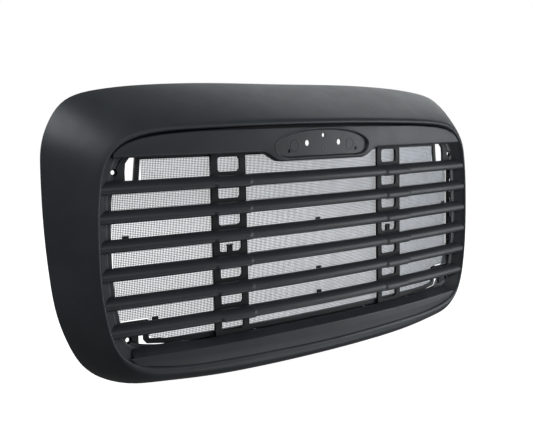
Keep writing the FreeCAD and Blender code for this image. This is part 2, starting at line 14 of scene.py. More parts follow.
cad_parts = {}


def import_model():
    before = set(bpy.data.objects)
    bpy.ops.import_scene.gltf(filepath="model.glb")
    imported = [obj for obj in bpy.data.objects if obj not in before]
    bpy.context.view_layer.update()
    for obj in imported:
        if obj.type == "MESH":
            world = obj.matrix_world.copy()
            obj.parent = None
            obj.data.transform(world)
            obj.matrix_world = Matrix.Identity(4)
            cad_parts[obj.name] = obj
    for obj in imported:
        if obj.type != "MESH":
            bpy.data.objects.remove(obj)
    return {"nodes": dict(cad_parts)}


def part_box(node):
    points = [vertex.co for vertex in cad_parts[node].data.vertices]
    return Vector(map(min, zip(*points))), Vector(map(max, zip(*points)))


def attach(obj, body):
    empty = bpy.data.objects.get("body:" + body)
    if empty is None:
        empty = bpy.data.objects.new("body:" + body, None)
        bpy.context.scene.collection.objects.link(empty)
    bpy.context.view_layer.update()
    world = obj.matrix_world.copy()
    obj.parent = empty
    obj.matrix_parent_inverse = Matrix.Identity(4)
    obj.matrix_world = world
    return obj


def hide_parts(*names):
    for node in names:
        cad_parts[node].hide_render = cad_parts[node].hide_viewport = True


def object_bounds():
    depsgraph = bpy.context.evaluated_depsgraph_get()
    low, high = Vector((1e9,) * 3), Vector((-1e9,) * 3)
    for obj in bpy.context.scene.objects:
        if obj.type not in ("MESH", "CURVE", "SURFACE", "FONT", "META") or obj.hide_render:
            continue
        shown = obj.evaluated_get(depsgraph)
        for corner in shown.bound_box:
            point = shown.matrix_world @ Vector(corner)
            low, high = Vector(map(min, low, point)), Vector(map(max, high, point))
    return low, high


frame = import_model()
cad_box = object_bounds()

MM = 0.001
WELD = 0.001 * MM                    # vertices closer than this become one

# ---------------------------------------------------------------- driving sizes
BOW_RADIUS = 3400 * MM               # plan radius of the louvre noses
NOSE_CENTRE_Y = -62 * MM
BOW_AXIS_Y = NOSE_CENTRE_Y + BOW_RADIUS

WALL = 4 * MM
FOLD_LEAD = 4 * MM                   # how far the fold stands ahead of the louvre noses
FOLD_RADIUS = 6 * MM
SURROUND_RINGS = 320
FLANK_TURN = (12, 87.5)              # degrees; the flank's section between the fold and the rear edge
REAR_MIDDLE_Y = 97 * MM
REAR_SWEEP = 19 * MM                 # how far the rear edge comes forward at its sides
REAR_HALF_X = 597 * MM
REAR_SWEEP_POWER = 8
FLANK_POWER = 1.8                    # superellipse power of the flank's section
FLANK_POWER_BELOW = 0.85             # the same under the grille
RIM_WIDTH = 10 * MM
RIM_CLEAR_Y = -WALL - 0.05 * MM      # louvres and sill stop just ahead of the rim
RIM_INSET = 26.5 * MM                # how far the rim lies inside the fold, at the sides
RIM_INSET_TOP = 16 * MM
RIM_INSET_BELOW = 39.5 * MM

# right half of the opening (the fold) and of the rear edge, top centre to bottom centre, (x, z) in mm
FOLD_OUTLINE = [(0, 90), (180, 88.5), (315, 85), (402, 79.5), (455, 69), (490, 51), (512, 25), (523, -8),
                (529, -48), (533.5, -140), (532, -216), (523, -286), (512, -326), (492, -358),
                (456, -380), (400, -391.5), (218, -400), (0, -403)]
REAR_OUTLINE = [(0, 177), (198, 177), (352, 171.5), (465, 160), (538.5, 137), (574, 97), (592, 54),
                (596.5, 7), (597, -43.5), (594.5, -132.5), (587.5, -212), (573, -288), (554, -338),
                (527, -384.5), (482, -421.5), (420, -435), (218, -446), (0, -448)]

LOWER_WALL_Z = -250 * MM             # the recess wall is below the grille under this height
SIDE_WALL_X = 430 * MM               # and beside it outside this plan position

CORNER_HOLES = [(486 * MM, 0.0), (470 * MM, -326.5 * MM)]
CORNER_HOLE_RADIUS = 7.5 * MM
PEG_HEIGHTS = (-62 * MM, -152 * MM, -228 * MM)
PEG_COLLAR_RADIUS = 4.32 * MM
PEG_SOCKET_RADIUS = 2.6 * MM
PEG_SOCKET_DEPTH = 3 * MM

LOUVRES = 6
LOUVRE_PITCH = 55 * MM
LOUVRE_BASE_Z = -40.5 * MM
LOUVRE_DEPTH = 27 * MM
LOUVRE_HALF_X = 520 * MM             # half a louvre's length, near enough; its true ends follow the wall
LOUVRE_PLAIN_X = 500 * MM            # the end's closer stations start past this
LOUVRE_SOLID_SHARE = 0.96            # share of the half length past which the pocket is filled
LOUVRE_SOLID_BACK = (20 * MM, 9 * MM)    # heights between which the filled back is spread
# front and pocket of a louvre's section, (depth, height above its lowest line) in mm
LOUVRE_FRONT = [(27, 8), (20, 4.6), (13, 1.8), (8.5, 0.2), (4.5, 0.1), (1.4, 2.2), (0, 6.5), (0.6, 11.5),
                (3.5, 16.5), (9, 21.6), (15.5, 24.5), (21, 23.4), (27, 21)]
LOUVRE_POCKET = [(27, 17.5), (14, 20), (8, 15.5), (6, 8.5), (11, 6), (27, 11.5)]
SADDLE_X = (194 * MM, 285 * MM)      # raised stretch where a louvre crosses a ladder
SADDLE_RAMP = 9 * MM
SADDLE_RAISE = 2.4 * MM
SADDLE_SINK = 0.4                    # a raised nose also drops by this share of its raise

LADDER_X = 238 * MM
LADDER_WIDTH = 84 * MM
LADDER_TOP_Z = 46 * MM
LADDER_BOTTOM_Z = -365 * MM
LADDER_THICK = 6 * MM
LADDER_GAP = 0.25 * MM
LADDER_BEVEL = 0.7 * MM
LADDER_ROUND = 2 * MM
WINDOW_WIDTH = 53 * MM
WINDOW_HEIGHT = 30 * MM
WINDOW_BASE_Z = -9.5 * MM
WINDOW_PITCH = 55.2 * MM
WINDOW_RADIUS = 7 * MM
WINDOWS = 7

HEADER_ARCH = [(0, 79), (180, 77.5), (350, 73.5), (415, 68), (455, 60), (483, 48), (497, 36)]
HEADER_LOWER_Z = 27 * MM
HEADER_DEPTH = 20 * MM
HEADER_LEAST = 7 * MM                # height left at the header's tips
HEADER_CROWN = 2.4 * MM              # how far the edges lie behind the middle, where the bar is this tall:
HEADER_CROWN_TALL = 70 * MM
HEADER_CHAMFER = 2.2 * MM            # along the upper edge
HEADER_ROLL = 5 * MM                 # along the lower edge
HEADER_WEB = 3.4 * MM                # thickness of the flanges behind the front
HEADER_FINE_X = 146 * MM             # sections stand closest inside this
HEADER_TAPER_X = 440 * MM
HEADER_END_X = 496.4 * MM
HEADER_ROWS = 84
DIP_Z = 6 * MM                       # lower edge under the emblem recess
DIP_X = (118 * MM, 172 * MM)
EMBLEM_DEPTH = 6 * MM
EMBLEM_WALL = 3.2 * MM
EMBLEM_SKIN = 3.6 * MM               # thickness of the recess floor
EMBLEM_LIP = (0.5 * MM, 2.4 * MM)    # height and half width
EMBLEM_HALF = [(0, 72), (70, 67.5), (116, 55), (134, 39), (129, 24.5), (108, 15.5), (70, 14.5), (0, 14.5)]
EMBLEM_STUD = (46.5 * MM, 43 * MM, 6.6 * MM)       # x, z and radius of the two through holes
EMBLEM_LOCATOR = (98 * MM, 27.5 * MM, 3.7 * MM)    # two blind locating holes
EMBLEM_TOP_HOLE = (0, 59 * MM, 4.8 * MM)
EMBLEM_SIDE_MARK = (81 * MM, 38.5 * MM, 11.5 * MM, 1.6 * MM)    # x, z, radius and half width of the line
EMBLEM_MIDDLE_MARK = (0, 31 * MM, 6 * MM, 1.4 * MM)
LOCATOR_DEPTH = 2.5 * MM
MARK_HEIGHT = 0.45 * MM

SILL_TOP_Z = -361 * MM               # front edge of the sloping top, and its lift at the tips
SILL_TOP_LIFT = 3 * MM
SILL_LEAST = 1.2 * MM                # height left at the tips
SILL_CREST_DEPTH = 20 * MM
SILL_CREST_Z = -348.5 * MM
SILL_CREST_RISE = 11 * MM            # the crest stands this much higher between these two places,
SILL_RISE_X = (330 * MM, 400 * MM)
SILL_FALL_X = (425 * MM, 450 * MM)   # and past these two it falls back by this share
SILL_FALL = 0.6
SILL_ROUND_X = 458 * MM              # the crest's end is a quarter of an ellipse from here to the tip
SILL_ROUND_Z = -343 * MM
SILL_TIP_X = 481 * MM
SILL_TIP_Z = -356 * MM
SILL_UNDER = [(0, -399.5), (215, -396.5), (380, -387.5), (430, -380), (470, -368), (481, -357.5)]
SILL_EVEN_X = 425 * MM               # sections stand evenly inside this
SILL_FLAT_X = 440 * MM               # inside this the recess wall lies below the sill, outside it beside it
SILL_GAP = 1.5 * MM

MESH_DEPTH = 36.9 * MM
MESH_PITCH = 3.4 * MM
MESH_OVERLAP = 1.5 * MM              # the cloth is tucked behind its frame at the top and bottom
MESH_SIDE_TUCK = 2 * MM
WIRE_RADIUS = 0.66 * MM
WEAVE = WIRE_RADIUS * 0.5
OPENING_TOP_HALF = 428.5 * MM        # half width of the frame's opening above its upper notches
OPENING_NOTCH_Z = -32 * MM
OPENING_SIDE_HALF = 496 * MM
OPENING_LOWER_NOTCH_Z = -293 * MM
# lower right corner of the opening, (x, z) in mm
OPENING_CORNER = [(300, -340), (384, -337), (421, -333), (425, -328)]

FLOOR_DROP = 1 * MM                  # gap between the lowest point and the floor
FLOOR_HALF = 14.0
FILL_LIGHT = 0.11
# name, place, target, size and watts
LIGHTS = [("right_back", (2.4, 1.9, 1.5), (0, 0, 0), (2.6, 2.0), 29),
          ("right_front", (2.8, -1.9, 0.1), (0, 0, -0.1), (1.6, 2.0), 42),
          ("left_top", (-2.3, 0.2, 2.3), (-0.3, 0, 0), (1.8, 1.2), 41),
          ("front_top", (-0.6, -2.8, 1.5), (0, 0, 0), (2.2, 0.6), 16),
          ("front_low", (1.4, -1.9, -1.9), (0.1, 0, -0.35), (2.4, 0.8), 15),
          ("behind", (-0.9, 3.2, 0.7), (0, 0, -0.1), (2.4, 1.2), 40)]
LAMP_COLOUR = (0.95, 0.985, 1.0)
WHITE = (1, 1, 1, 1)
PAPER_GREY = (0.4, 0.4, 0.4, 1)

CAMERA_AT = (-1.2151, -1.3965, 0.0776)
CAMERA_RIGHT = (0.7851, -0.6189, -0.0224)
CAMERA_UP = (0.0897, 0.0778, 0.9929)
CAMERA_LENS = 55.385
CAMERA_SENSOR = 36


# ---------------------------------------------------------------- curves
def nose_y(x):
    return BOW_AXIS_Y - np.sqrt(BOW_RADIUS ** 2 - np.square(x))


def bow_point(x, depth, z):
    """Point at the given depth behind the nose line, on the plane square to the bow at plan position x."""
    angle = math.asin(x / BOW_RADIUS)
    radius = BOW_RADIUS - depth
    return (radius * math.sin(angle), BOW_AXIS_Y - radius * math.cos(angle), z)


def smooth(value):
    value = np.clip(value, 0.0, 1.0)
    return value * value * (3 - 2 * value)


def rise_over(x, span):
    """0 before the span, 1 past it and a smooth rise between."""
    start, end = span
    return smooth((x - start) / (end - start))


def closed_spline(half, at, pace=None):
    """Smooth closed curve through a right half and its mirror image; at runs 0 to 1 around it.

    The chord lengths of pace, by default of the half itself, share out the run. Two curves with one
    pace keep in step.
    """
    pace = np.array(pace or half, float)
    lengths = np.concatenate([[0], np.cumsum(np.hypot(*np.diff(pace, axis=0).T))])
    half = np.array(half, float)
    points = np.concatenate([half, half[-2:0:-1] * (-1, 1)]) * MM
    knots = np.concatenate([lengths, 2 * lengths[-1] - lengths[-2::-1]])
    count = len(points)
    steps = np.diff(knots)
    system = np.zeros((count, count))
    right = np.zeros((count, 2))
    for i in range(count):
        before, after = steps[i - 1], steps[i]
        system[i, i - 1] += before
        system[i, i] += 2 * (before + after)
        system[i, (i + 1) % count] += after
        slope_after = (points[(i + 1) % count] - points[i]) / after
        slope_before = (points[i] - points[i - 1]) / before
        right[i] = 6 * (slope_after - slope_before)
    bend = np.linalg.solve(system, right)
    place = (np.asarray(at) % 1.0) * knots[-1]
    span = np.clip(np.searchsorted(knots, place, side="right") - 1, 0, count - 1)
    width = steps[span][:, None]
    ahead = (place - knots[span])[:, None]
    left = width - ahead
    following = (span + 1) % count
    return (bend[span] * left ** 3 / (6 * width) + bend[following] * ahead ** 3 / (6 * width)
            + (points[span] / width - bend[span] * width / 6) * left
            + (points[following] / width - bend[following] * width / 6) * ahead)


def open_curve(points, x):
    """Smooth z(x) through points that run outward from the middle plane, the same on both sides."""
    points = np.array(points, float) * MM
    mirrored = np.concatenate([points[:0:-1] * (-1, 1), points])
    slopes = np.gradient(mirrored[:, 1], mirrored[:, 0])
    x = np.asarray(x, float)
    span = np.clip(np.searchsorted(mirrored[:, 0], x, side="right") - 1, 0, len(mirrored) - 2)
    x0, x1 = mirrored[span, 0], mirrored[span + 1, 0]
    z0, z1 = mirrored[span, 1], mirrored[span + 1, 1]
    t = (x - x0) / (x1 - x0)
    width = x1 - x0
    return ((1 + 2 * t) * (1 - t) ** 2 * z0 + t * (1 - t) ** 2 * width * slopes[span]
            + t * t * (3 - 2 * t) * z1 + t * t * (t - 1) * width * slopes[span + 1])


def rounded(points, radius):
    """A closed section with each corner turned into a short arc."""
    steps = 3
    longest_cut = 0.45
    result = []
    count = len(points)
    for i in range(count):
        before, corner, after = (np.array(points[j % count], float) for j in (i - 1, i, i + 1))
        arm_in = before - corner
        arm_out = after - corner
        cut_in = min(radius, longest_cut * np.linalg.norm(arm_in))
        cut_out = min(radius, longest_cut * np.linalg.norm(arm_out))
        start = corner + arm_in / np.linalg.norm(arm_in) * cut_in
        end = corner + arm_out / np.linalg.norm(arm_out) * cut_out
        for step in range(steps + 1):
            t = step / steps
            result.append((1 - t) ** 2 * start + 2 * t * (1 - t) * corner + t * t * end)
    return result


# ---------------------------------------------------------------- mesh building
def clean_mesh(name, verts, faces):
    """A mesh without double vertices whose faces all look outward."""
    mesh = bpy.data.meshes.new(name)
    mesh.from_pydata([tuple(v) for v in verts], [], faces)
    work = bmesh.new()
    work.from_mesh(mesh)
    bmesh.ops.remove_doubles(work, verts=work.verts, dist=WELD)
    bmesh.ops.recalc_face_normals(work, faces=work.faces)
    work.to_mesh(mesh)
    work.free()
    return mesh


def new_piece(name, surface, body, material, replaced):
    """A visible piece from (vertices, faces) that rides on a body and stands in for CAD nodes."""
    mesh = clean_mesh(name, *surface)
    mesh.shade_smooth()
    piece = bpy.data.objects.new(name, mesh)
    bpy.context.scene.collection.objects.link(piece)
    piece.data.materials.append(material)
    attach(piece, body)
    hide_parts(*replaced)
    return piece


def skin(rings, closed=False):
    """Vertices and faces that join equal rings of points one after the other.

    A closed skin joins its last ring to its first; any other gets a cap at each end.
    """
    size = len(rings[0])
    verts = [point for ring in rings for point in ring]
    faces = []
    for i in range(len(rings) if closed else len(rings) - 1):
        first = i * size
        second = ((i + 1) % len(rings)) * size
        for j in range(size):
            k = (j + 1) % size
            faces.append((first + j, first + k, second + k, second + j))
    if not closed:
        faces.append(tuple(range(size)))
        faces.append(tuple(range(len(verts) - size, len(verts))))
    return verts, faces


def joined(surfaces):
    """Several (vertices, faces) as one."""
    verts, faces = [], []
    for more_verts, more_faces in surfaces:
        faces += [tuple(len(verts) + i for i in face) for face in more_faces]
        verts += more_verts
    return verts, faces


def apply_modifiers(piece):
    graph = bpy.context.evaluated_depsgraph_get()
    mesh = bpy.data.meshes.new_from_object(piece.evaluated_get(graph))
    piece.modifiers.clear()
    piece.data = mesh


def cut(piece, cutters):
    """Boolean difference with several closed skins at once."""
    tool = bpy.data.objects.new("cutter", clean_mesh("cutter", *joined(cutters)))
    bpy.context.scene.collection.objects.link(tool)
    modifier = piece.modifiers.new("cut", "BOOLEAN")
    modifier.operation = "DIFFERENCE"
    modifier.solver = "EXACT"
    modifier.object = tool
    apply_modifiers(piece)
    bpy.data.objects.remove(tool)


def drum(x, z, radius, y_from, y_to, sides=40):
    """A closed cylinder along Y."""
    angles = [2 * math.pi * i / sides for i in range(sides)]
    circle = [(x + radius * math.cos(angle), z + radius * math.sin(angle)) for angle in angles]
    return skin([[(px, y, pz) for px, pz in circle] for y in (y_from, y_to)])


def finish_shading(piece, angle=35):
    """Sharp edges stay crisp, broad faces stay flat."""
    mesh = piece.data
    mesh.shade_smooth()
    mesh.set_sharp_from_angle(angle=math.radians(angle))
    weigh = piece.modifiers.new("weighted", "WEIGHTED_NORMAL")
    weigh.keep_sharp = True


# ---------------------------------------------------------------- materials
COOL_TINT = (0.88, 0.985, 1.15)      # every grey leans slightly to blue
DUST_SHADE = 0.35


def nodes_of(name):
    material = bpy.data.materials.new(name)
    material.use_nodes = True
    nodes = material.node_tree.nodes
    return material, nodes, material.node_tree.links, nodes["Principled BSDF"]


def noise(nodes, links, coords, scale, detail, rough):
    node = nodes.new("ShaderNodeTexNoise")
    node.inputs["Scale"].default_value = scale
    node.inputs["Detail"].default_value = detail
    node.inputs["Roughness"].default_value = rough
    links.new(coords, node.inputs["Vector"])
    return node.outputs["Fac"]


def ramp(nodes, links, source, stops):
    node = nodes.new("ShaderNodeValToRGB")
    elements = node.color_ramp.elements
    while len(elements) < len(stops):
        elements.new(0.5)
    for element, (place, colour) in zip(elements, stops):
        element.position = place
        element.color = (*colour, 1.0)
    links.new(source, node.inputs["Fac"])
    return node.outputs["Color"]


def grey(value):
    return tuple(value * part for part in COOL_TINT)


def mix(nodes, links, mask, first, second):
    node = nodes.new("ShaderNodeMix")
    node.data_type = "RGBA"
    links.new(mask, node.inputs["Factor"])
    for value, socket in ((first, node.inputs[6]), (second, node.inputs[7])):
        if isinstance(value, tuple):
            socket.default_value = (*value, 1.0)
        else:
            links.new(value, socket)
    return node.outputs[2]


def scaled(nodes, links, source, low, high):
    node = nodes.new("ShaderNodeMapRange")
    node.inputs["To Min"].default_value = low
    node.inputs["To Max"].default_value = high
    links.new(source, node.inputs["Value"])
    return node.outputs["Result"]


def add_bump(nodes, links, shader, height, strength, distance):
    bump = nodes.new("ShaderNodeBump")
    bump.inputs["Strength"].default_value = strength
    bump.inputs["Distance"].default_value = distance
    links.new(height, bump.inputs["Height"])
    links.new(bump.outputs["Normal"], shader.inputs["Normal"])


def plastic(name, shade, rough, grain=0.25, dust=0.35, wear=0.5):
    """Moulded plastic: cloudy colour, fine grain, rubbed edges and a few specks of dust."""
    material, nodes, links, shader = nodes_of(name)
    coords = nodes.new("ShaderNodeTexCoord").outputs["Object"]
    cloud = noise(nodes, links, coords, scale=9.0, detail=5.0, rough=0.6)
    base = ramp(nodes, links, cloud, [(0.3, grey(shade * 0.82)), (0.7, grey(shade * 1.18))])
    edges = nodes.new("ShaderNodeNewGeometry").outputs["Pointiness"]
    rubbed = ramp(nodes, links, edges, [(0.52, (0, 0, 0)), (0.60, (wear, wear, wear))])
    base = mix(nodes, links, rubbed, base, grey(shade * 2.4))
    specks = nodes.new("ShaderNodeTexVoronoi")
    specks.inputs["Scale"].default_value = 38.0
    links.new(coords, specks.inputs["Vector"])
    spots = ramp(nodes, links, specks.outputs["Distance"], [(0.014, (dust, dust, dust)), (0.03, (0, 0, 0))])
    base = mix(nodes, links, spots, base, grey(DUST_SHADE))
    links.new(base, shader.inputs["Base Color"])
    patches = noise(nodes, links, coords, scale=30.0, detail=4.0, rough=0.6)
    links.new(scaled(nodes, links, patches, rough - 0.06, rough + 0.07), shader.inputs["Roughness"])
    pits = noise(nodes, links, coords, scale=900.0, detail=3.0, rough=0.7)
    add_bump(nodes, links, shader, pits, grain, 0.12 * MM)
    return material


def metal(name, shade, rough, streak=60.0, metallic=0.9):
    """Drawn or plated metal with streaks and dull patches."""
    material, nodes, links, shader = nodes_of(name)
    coords = nodes.new("ShaderNodeTexCoord").outputs["Object"]
    cloud = noise(nodes, links, coords, scale=streak, detail=5.0, rough=0.65)
    links.new(ramp(nodes, links, cloud, [(0.3, grey(shade * 0.75)), (0.7, grey(shade * 1.15))]),
              shader.inputs["Base Color"])
    shader.inputs["Metallic"].default_value = metallic
    links.new(scaled(nodes, links, cloud, rough - 0.08, rough + 0.12), shader.inputs["Roughness"])
    fine = noise(nodes, links, coords, scale=1500.0, detail=2.0, rough=0.6)
    add_bump(nodes, links, shader, fine, 0.2, 0.05 * MM)
    return material


SHELL = plastic("shell_plastic", 0.040, 0.46)
BARS = plastic("bar_plastic", 0.036, 0.44)
LADDERS = plastic("ladder_plastic", 0.009, 0.62, dust=0.1)
RAIL = plastic("screen_rail_coat", 0.010, 0.55, grain=0.15, dust=0.1)
RUBBER = plastic("pad_rubber", 0.012, 0.75, grain=0.4, dust=0.1, wear=0.1)
WIRE = metal("mesh_wire", 0.42, 0.4, metallic=1.0)
ZINC = metal("screw_zinc", 0.5, 0.35, streak=220.0)


# ---------------------------------------------------------------- surround
class Rings:
    """The surround's sections, each through a point of the fold and its partner on the rear edge.

    In a section, s runs outward from the fold and y backward.
    """

    def __init__(self, at):
        self.fold = closed_spline(FOLD_OUTLINE, at)
        rear = closed_spline(REAR_OUTLINE, at, pace=FOLD_OUTLINE)
        across = rear - self.fold
        self.reach = np.hypot(across[:, 0], across[:, 1])
        self.out = across / self.reach[:, None]
        self.front_y = nose_y(self.fold[:, 0]) - FOLD_LEAD
        sweep = (np.abs(rear[:, 0]) / REAR_HALF_X) ** REAR_SWEEP_POWER
        self.rear_y = REAR_MIDDLE_Y - REAR_SWEEP * sweep
        above = np.maximum(self.out[:, 1], 0) ** 2
        below = np.maximum(-self.out[:, 1], 0) ** 2
        self.inset = (RIM_INSET + (RIM_INSET_TOP - RIM_INSET) * above
                      + (RIM_INSET_BELOW - RIM_INSET) * below)
        self.power = FLANK_POWER + (FLANK_POWER_BELOW - FLANK_POWER) * below

    def place(self, s, y):
        """Points in the frame from section coordinates, one for each ring."""
        flat = self.fold + np.asarray(s)[:, None] * self.out
        return np.stack([flat[:, 0], np.broadcast_to(y, self.reach.shape), flat[:, 1]], axis=1)

    def flank(self, turn, inward=0.0):
        """The flank's point at a turn in degrees, 0 at the fold and 90 at the rear edge."""
        sine = math.sin(math.radians(turn))
        cosine = math.cos(math.radians(turn))
        depth = self.rear_y - self.front_y
        s = self.reach * sine ** self.power
        y = self.front_y + depth * (1 - cosine ** self.power)
        normal_s = depth * sine * cosine ** (self.power - 1)
        normal_y = -self.reach * cosine * sine ** (self.power - 1)
        size = np.hypot(normal_s, normal_y)
        return s - inward * normal_s / size, y - inward * normal_y / size

    def wall_slope(self):
        """Direction of the slanted recess wall, from the fold back to the rim."""
        run = self.inset - FOLD_RADIUS
        fall = -WALL - (self.front_y + FOLD_RADIUS)
        size = np.hypot(run, fall)
        return -run / size, fall / size

    def wall_line(self, y):
        """The recess wall's face where a plane square to Y cuts it."""
        ds, dy = self.wall_slope()
        s = -FOLD_RADIUS + ds / dy * (y - self.front_y - FOLD_RADIUS)
        return self.place(s, y)

    def wall_z(self, x, y):
        """Height of the recess wall below the grille at the plan position (x, y)."""
        face = self.wall_line(y)
        face = face[face[:, 2] < LOWER_WALL_Z]
        order = np.argsort(face[:, 0])
        return float(np.interp(abs(x), face[order, 0], face[order, 2]))

    def wall_x(self, y, z):
        """How far out the recess wall lies on the right side at (y, z)."""
        face = self.wall_line(y)
        face = face[face[:, 0] > SIDE_WALL_X]
        order = np.argsort(face[:, 2])
        return float(np.interp(z, face[order, 2], face[order, 0]))


def bend(start, middle, end, t):
    """Quadratic arc from start to end that leaves and arrives along the lines to middle."""
    return tuple((1 - t) ** 2 * a + 2 * t * (1 - t) * m + t * t * b for a, m, b in zip(start, middle, end))


def surround_profile(rings):
    """Section points, front of the rim round to the back of the rim, as (s, y) for every ring."""
    ds, dy = rings.wall_slope()
    rim_back = np.zeros_like(rings.reach)
    rim_front = rim_back - WALL
    foot = (-rings.inset, rim_front)
    bevel = 0.7 * MM
    edge = -rings.inset - RIM_WIDTH
    points = [(edge + bevel, rim_back), (edge, rim_back - bevel), (edge, rim_front + bevel),
              (edge + bevel, rim_front)]
    fillet = 2.5 * MM
    before = (foot[0] - fillet, foot[1])
    after = (foot[0] - ds * fillet, foot[1] - dy * fillet)
    points += [bend(before, foot, after, t) for t in (0, 0.33, 0.67, 1)]
    top = (rim_back - FOLD_RADIUS, rings.front_y + FOLD_RADIUS)
    for t in (0.3, 0.65):
        points.append(tuple(a + (b - a) * t for a, b in zip(after, top)))
    points.append(top)
    turn_from, turn_to = FLANK_TURN
    shoulder = rings.flank(turn_from)
    apex_share = 0.85
    apex_lead = 2.0 * MM
    apex = (top[0] - ds * FOLD_RADIUS * apex_share, rings.front_y - apex_lead)
    points += [bend(top, apex, shoulder, t) for t in (0.15, 0.3, 0.45, 0.6, 0.75, 0.9)]
    points += [rings.flank(turn) for turn in np.linspace(turn_from, turn_to, 26)]
    ease = 0.5 * MM
    points.append(rings.flank(90, ease))
    points.append(rings.flank(90, WALL - ease))
    points += [rings.flank(turn, WALL) for turn in np.linspace(turn_to, turn_from, 14)]
    points.append((top[0] + WALL * dy, top[1] - WALL * ds))
    points.append((-rings.inset + WALL * dy + ds / dy * WALL * (1 + ds), rim_back))
    return points


def surround():
    rings = Rings(np.arange(SURROUND_RINGS) / SURROUND_RINGS)
    columns = [rings.place(s, y) for s, y in surround_profile(rings)]
    surface = skin(np.stack(columns, axis=1), closed=True)
    piece = new_piece("surround_shell_skin", surface, "grille", SHELL, ["surround_shell"])
    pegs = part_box("screen_pegs")
    peg_x = pegs[1][0] - PEG_COLLAR_RADIUS
    behind_rim = WALL
    holes = []
    for z in PEG_HEIGHTS:
        for side in (-1, 1):
            holes.append(drum(side * peg_x, z, PEG_SOCKET_RADIUS, -PEG_SOCKET_DEPTH, behind_rim, sides=20))
    for x, z in CORNER_HOLES:
        for side in (-1, 1):
            holes.append(drum(side * x, z, CORNER_HOLE_RADIUS, -2 * WALL, behind_rim))
    cut(piece, holes)
    finish_shading(piece)


# ---------------------------------------------------------------- header
def emblem_distance(x, z):
    """Signed distance from the recess outline, negative inside it."""
    at = np.arange(360) / 360
    outline = closed_spline(EMBLEM_HALF, at)
    following = np.roll(outline, -1, axis=0)
    points = np.stack([x, z], axis=-1).reshape(-1, 1, 2)
    along = following - outline
    t = np.clip(((points - outline) * along).sum(-1) / (along ** 2).sum(-1), 0, 1)
    near = np.linalg.norm(points - outline - t[..., None] * along, axis=-1).min(axis=1)
    crosses = (outline[:, 1] > points[..., 1]) != (following[:, 1] > points[..., 1])
    nearly_level = 1e-12
    rise = np.where(along[:, 1] == 0, nearly_level, along[:, 1])
    hit = points[..., 0] < outline[:, 0] + (points[..., 1] - outline[:, 1]) / rise * along[:, 0]
    inside = (crosses & hit).sum(axis=1) % 2 == 1
    return np.where(inside, -near, near).reshape(x.shape)


def ring_mark(x, z, centre_x, centre_z, radius, width):
    """1 on a circular line, falling to 0 beside it."""
    away = np.abs(np.hypot(x - centre_x, z - centre_z) - radius)
    return 1 - smooth(away / width)


def header_columns():
    """Plan positions of the header's sections, closest together across the emblem recess."""
    step = 4 * MM
    middle = np.linspace(-HEADER_FINE_X, HEADER_FINE_X, 366)
    side = np.linspace(HEADER_FINE_X + step, HEADER_TAPER_X, 56)
    tip = np.linspace(HEADER_TAPER_X + step, HEADER_END_X, 24)
    outside = np.concatenate([side, tip])
    return np.concatenate([-outside[::-1], middle, outside])


def header_front(x_all, rows, low, height):
    """Depth and height of the header's front at every column and row."""
    z = low[:, None] + rows[None, :] * height[:, None]
    x = np.broadcast_to(x_all[:, None], z.shape)
    crown = HEADER_CROWN * np.square(2 * rows - 1)[None, :] * (height[:, None] / HEADER_CROWN_TALL)
    from_top = (1 - rows)[None, :] * height[:, None]
    from_low = rows[None, :] * height[:, None]
    edge = HEADER_CHAMFER * np.clip(1 - from_top / HEADER_CHAMFER, 0, 1)
    edge = edge + HEADER_ROLL * (1 - np.sqrt(1 - np.square(np.clip(1 - from_low / HEADER_ROLL, 0, 1))))
    away = emblem_distance(x, z)
    recess = (EMBLEM_DEPTH - crown) * smooth(0.5 - away / EMBLEM_WALL)
    lip_height, lip_width = EMBLEM_LIP
    lip = lip_height * (1 - smooth(np.abs(away - EMBLEM_WALL) / lip_width))
    mark_x, mark_z, mark_radius, mark_width = EMBLEM_SIDE_MARK
    marks = 0.8 * ring_mark(x, z, *EMBLEM_MIDDLE_MARK)
    for side in (-1, 1):
        marks = marks + ring_mark(x, z, side * mark_x, mark_z, mark_radius, mark_width)
    return crown + edge + recess - lip - MARK_HEIGHT * marks, z


def header_back(height):
    """The back of one header section from top to bottom, as (depth, share of the height)."""
    ease = 0.5 * MM
    behind = EMBLEM_DEPTH + EMBLEM_SKIN
    web = min(HEADER_WEB, height * 0.3) / height
    corner = ease / height
    upper = [(HEADER_DEPTH - ease, 1.0), (HEADER_DEPTH, 1 - corner), (HEADER_DEPTH, 1 - web)]
    inside = [(behind, share) for share in (1 - web, 0.75, 0.5, 0.25, web)]
    lower = [(HEADER_DEPTH, web), (HEADER_DEPTH, corner), (HEADER_DEPTH - ease, 0.0)]
    return upper + inside + lower


def header_holes():
    through = (-80 * MM, -20 * MM)
    stud_x, stud_z, stud_radius = EMBLEM_STUD
    blind_x, blind_z, blind_radius = EMBLEM_LOCATOR
    blind_y = float(nose_y(blind_x)) + EMBLEM_DEPTH + LOCATOR_DEPTH
    holes = [drum(*EMBLEM_TOP_HOLE, *through)]
    for side in (-1, 1):
        holes.append(drum(side * stud_x, stud_z, stud_radius, *through))
        holes.append(drum(side * blind_x, blind_z, blind_radius, through[0], blind_y))
    return holes


def header():
    x_all = header_columns()
    rows = np.linspace(0, 1, HEADER_ROWS)
    top = open_curve(HEADER_ARCH, x_all)
    low = HEADER_LOWER_Z - (HEADER_LOWER_Z - DIP_Z) * (1 - rise_over(np.abs(x_all), DIP_X))
    low = np.minimum(low, top - HEADER_LEAST)
    height = top - low
    depth, z = header_front(x_all, rows, low, height)
    sections = []
    for i, x in enumerate(x_all):
        section = [bow_point(x, depth[i, j], z[i, j]) for j in range(len(rows))]
        section += [bow_point(x, d, low[i] + share * height[i]) for d, share in header_back(height[i])]
        sections.append(section)
    piece = new_piece("header_bar_skin", skin(sections), "grille", BARS, ["header_bar"])
    cut(piece, header_holes())
    finish_shading(piece, 50)


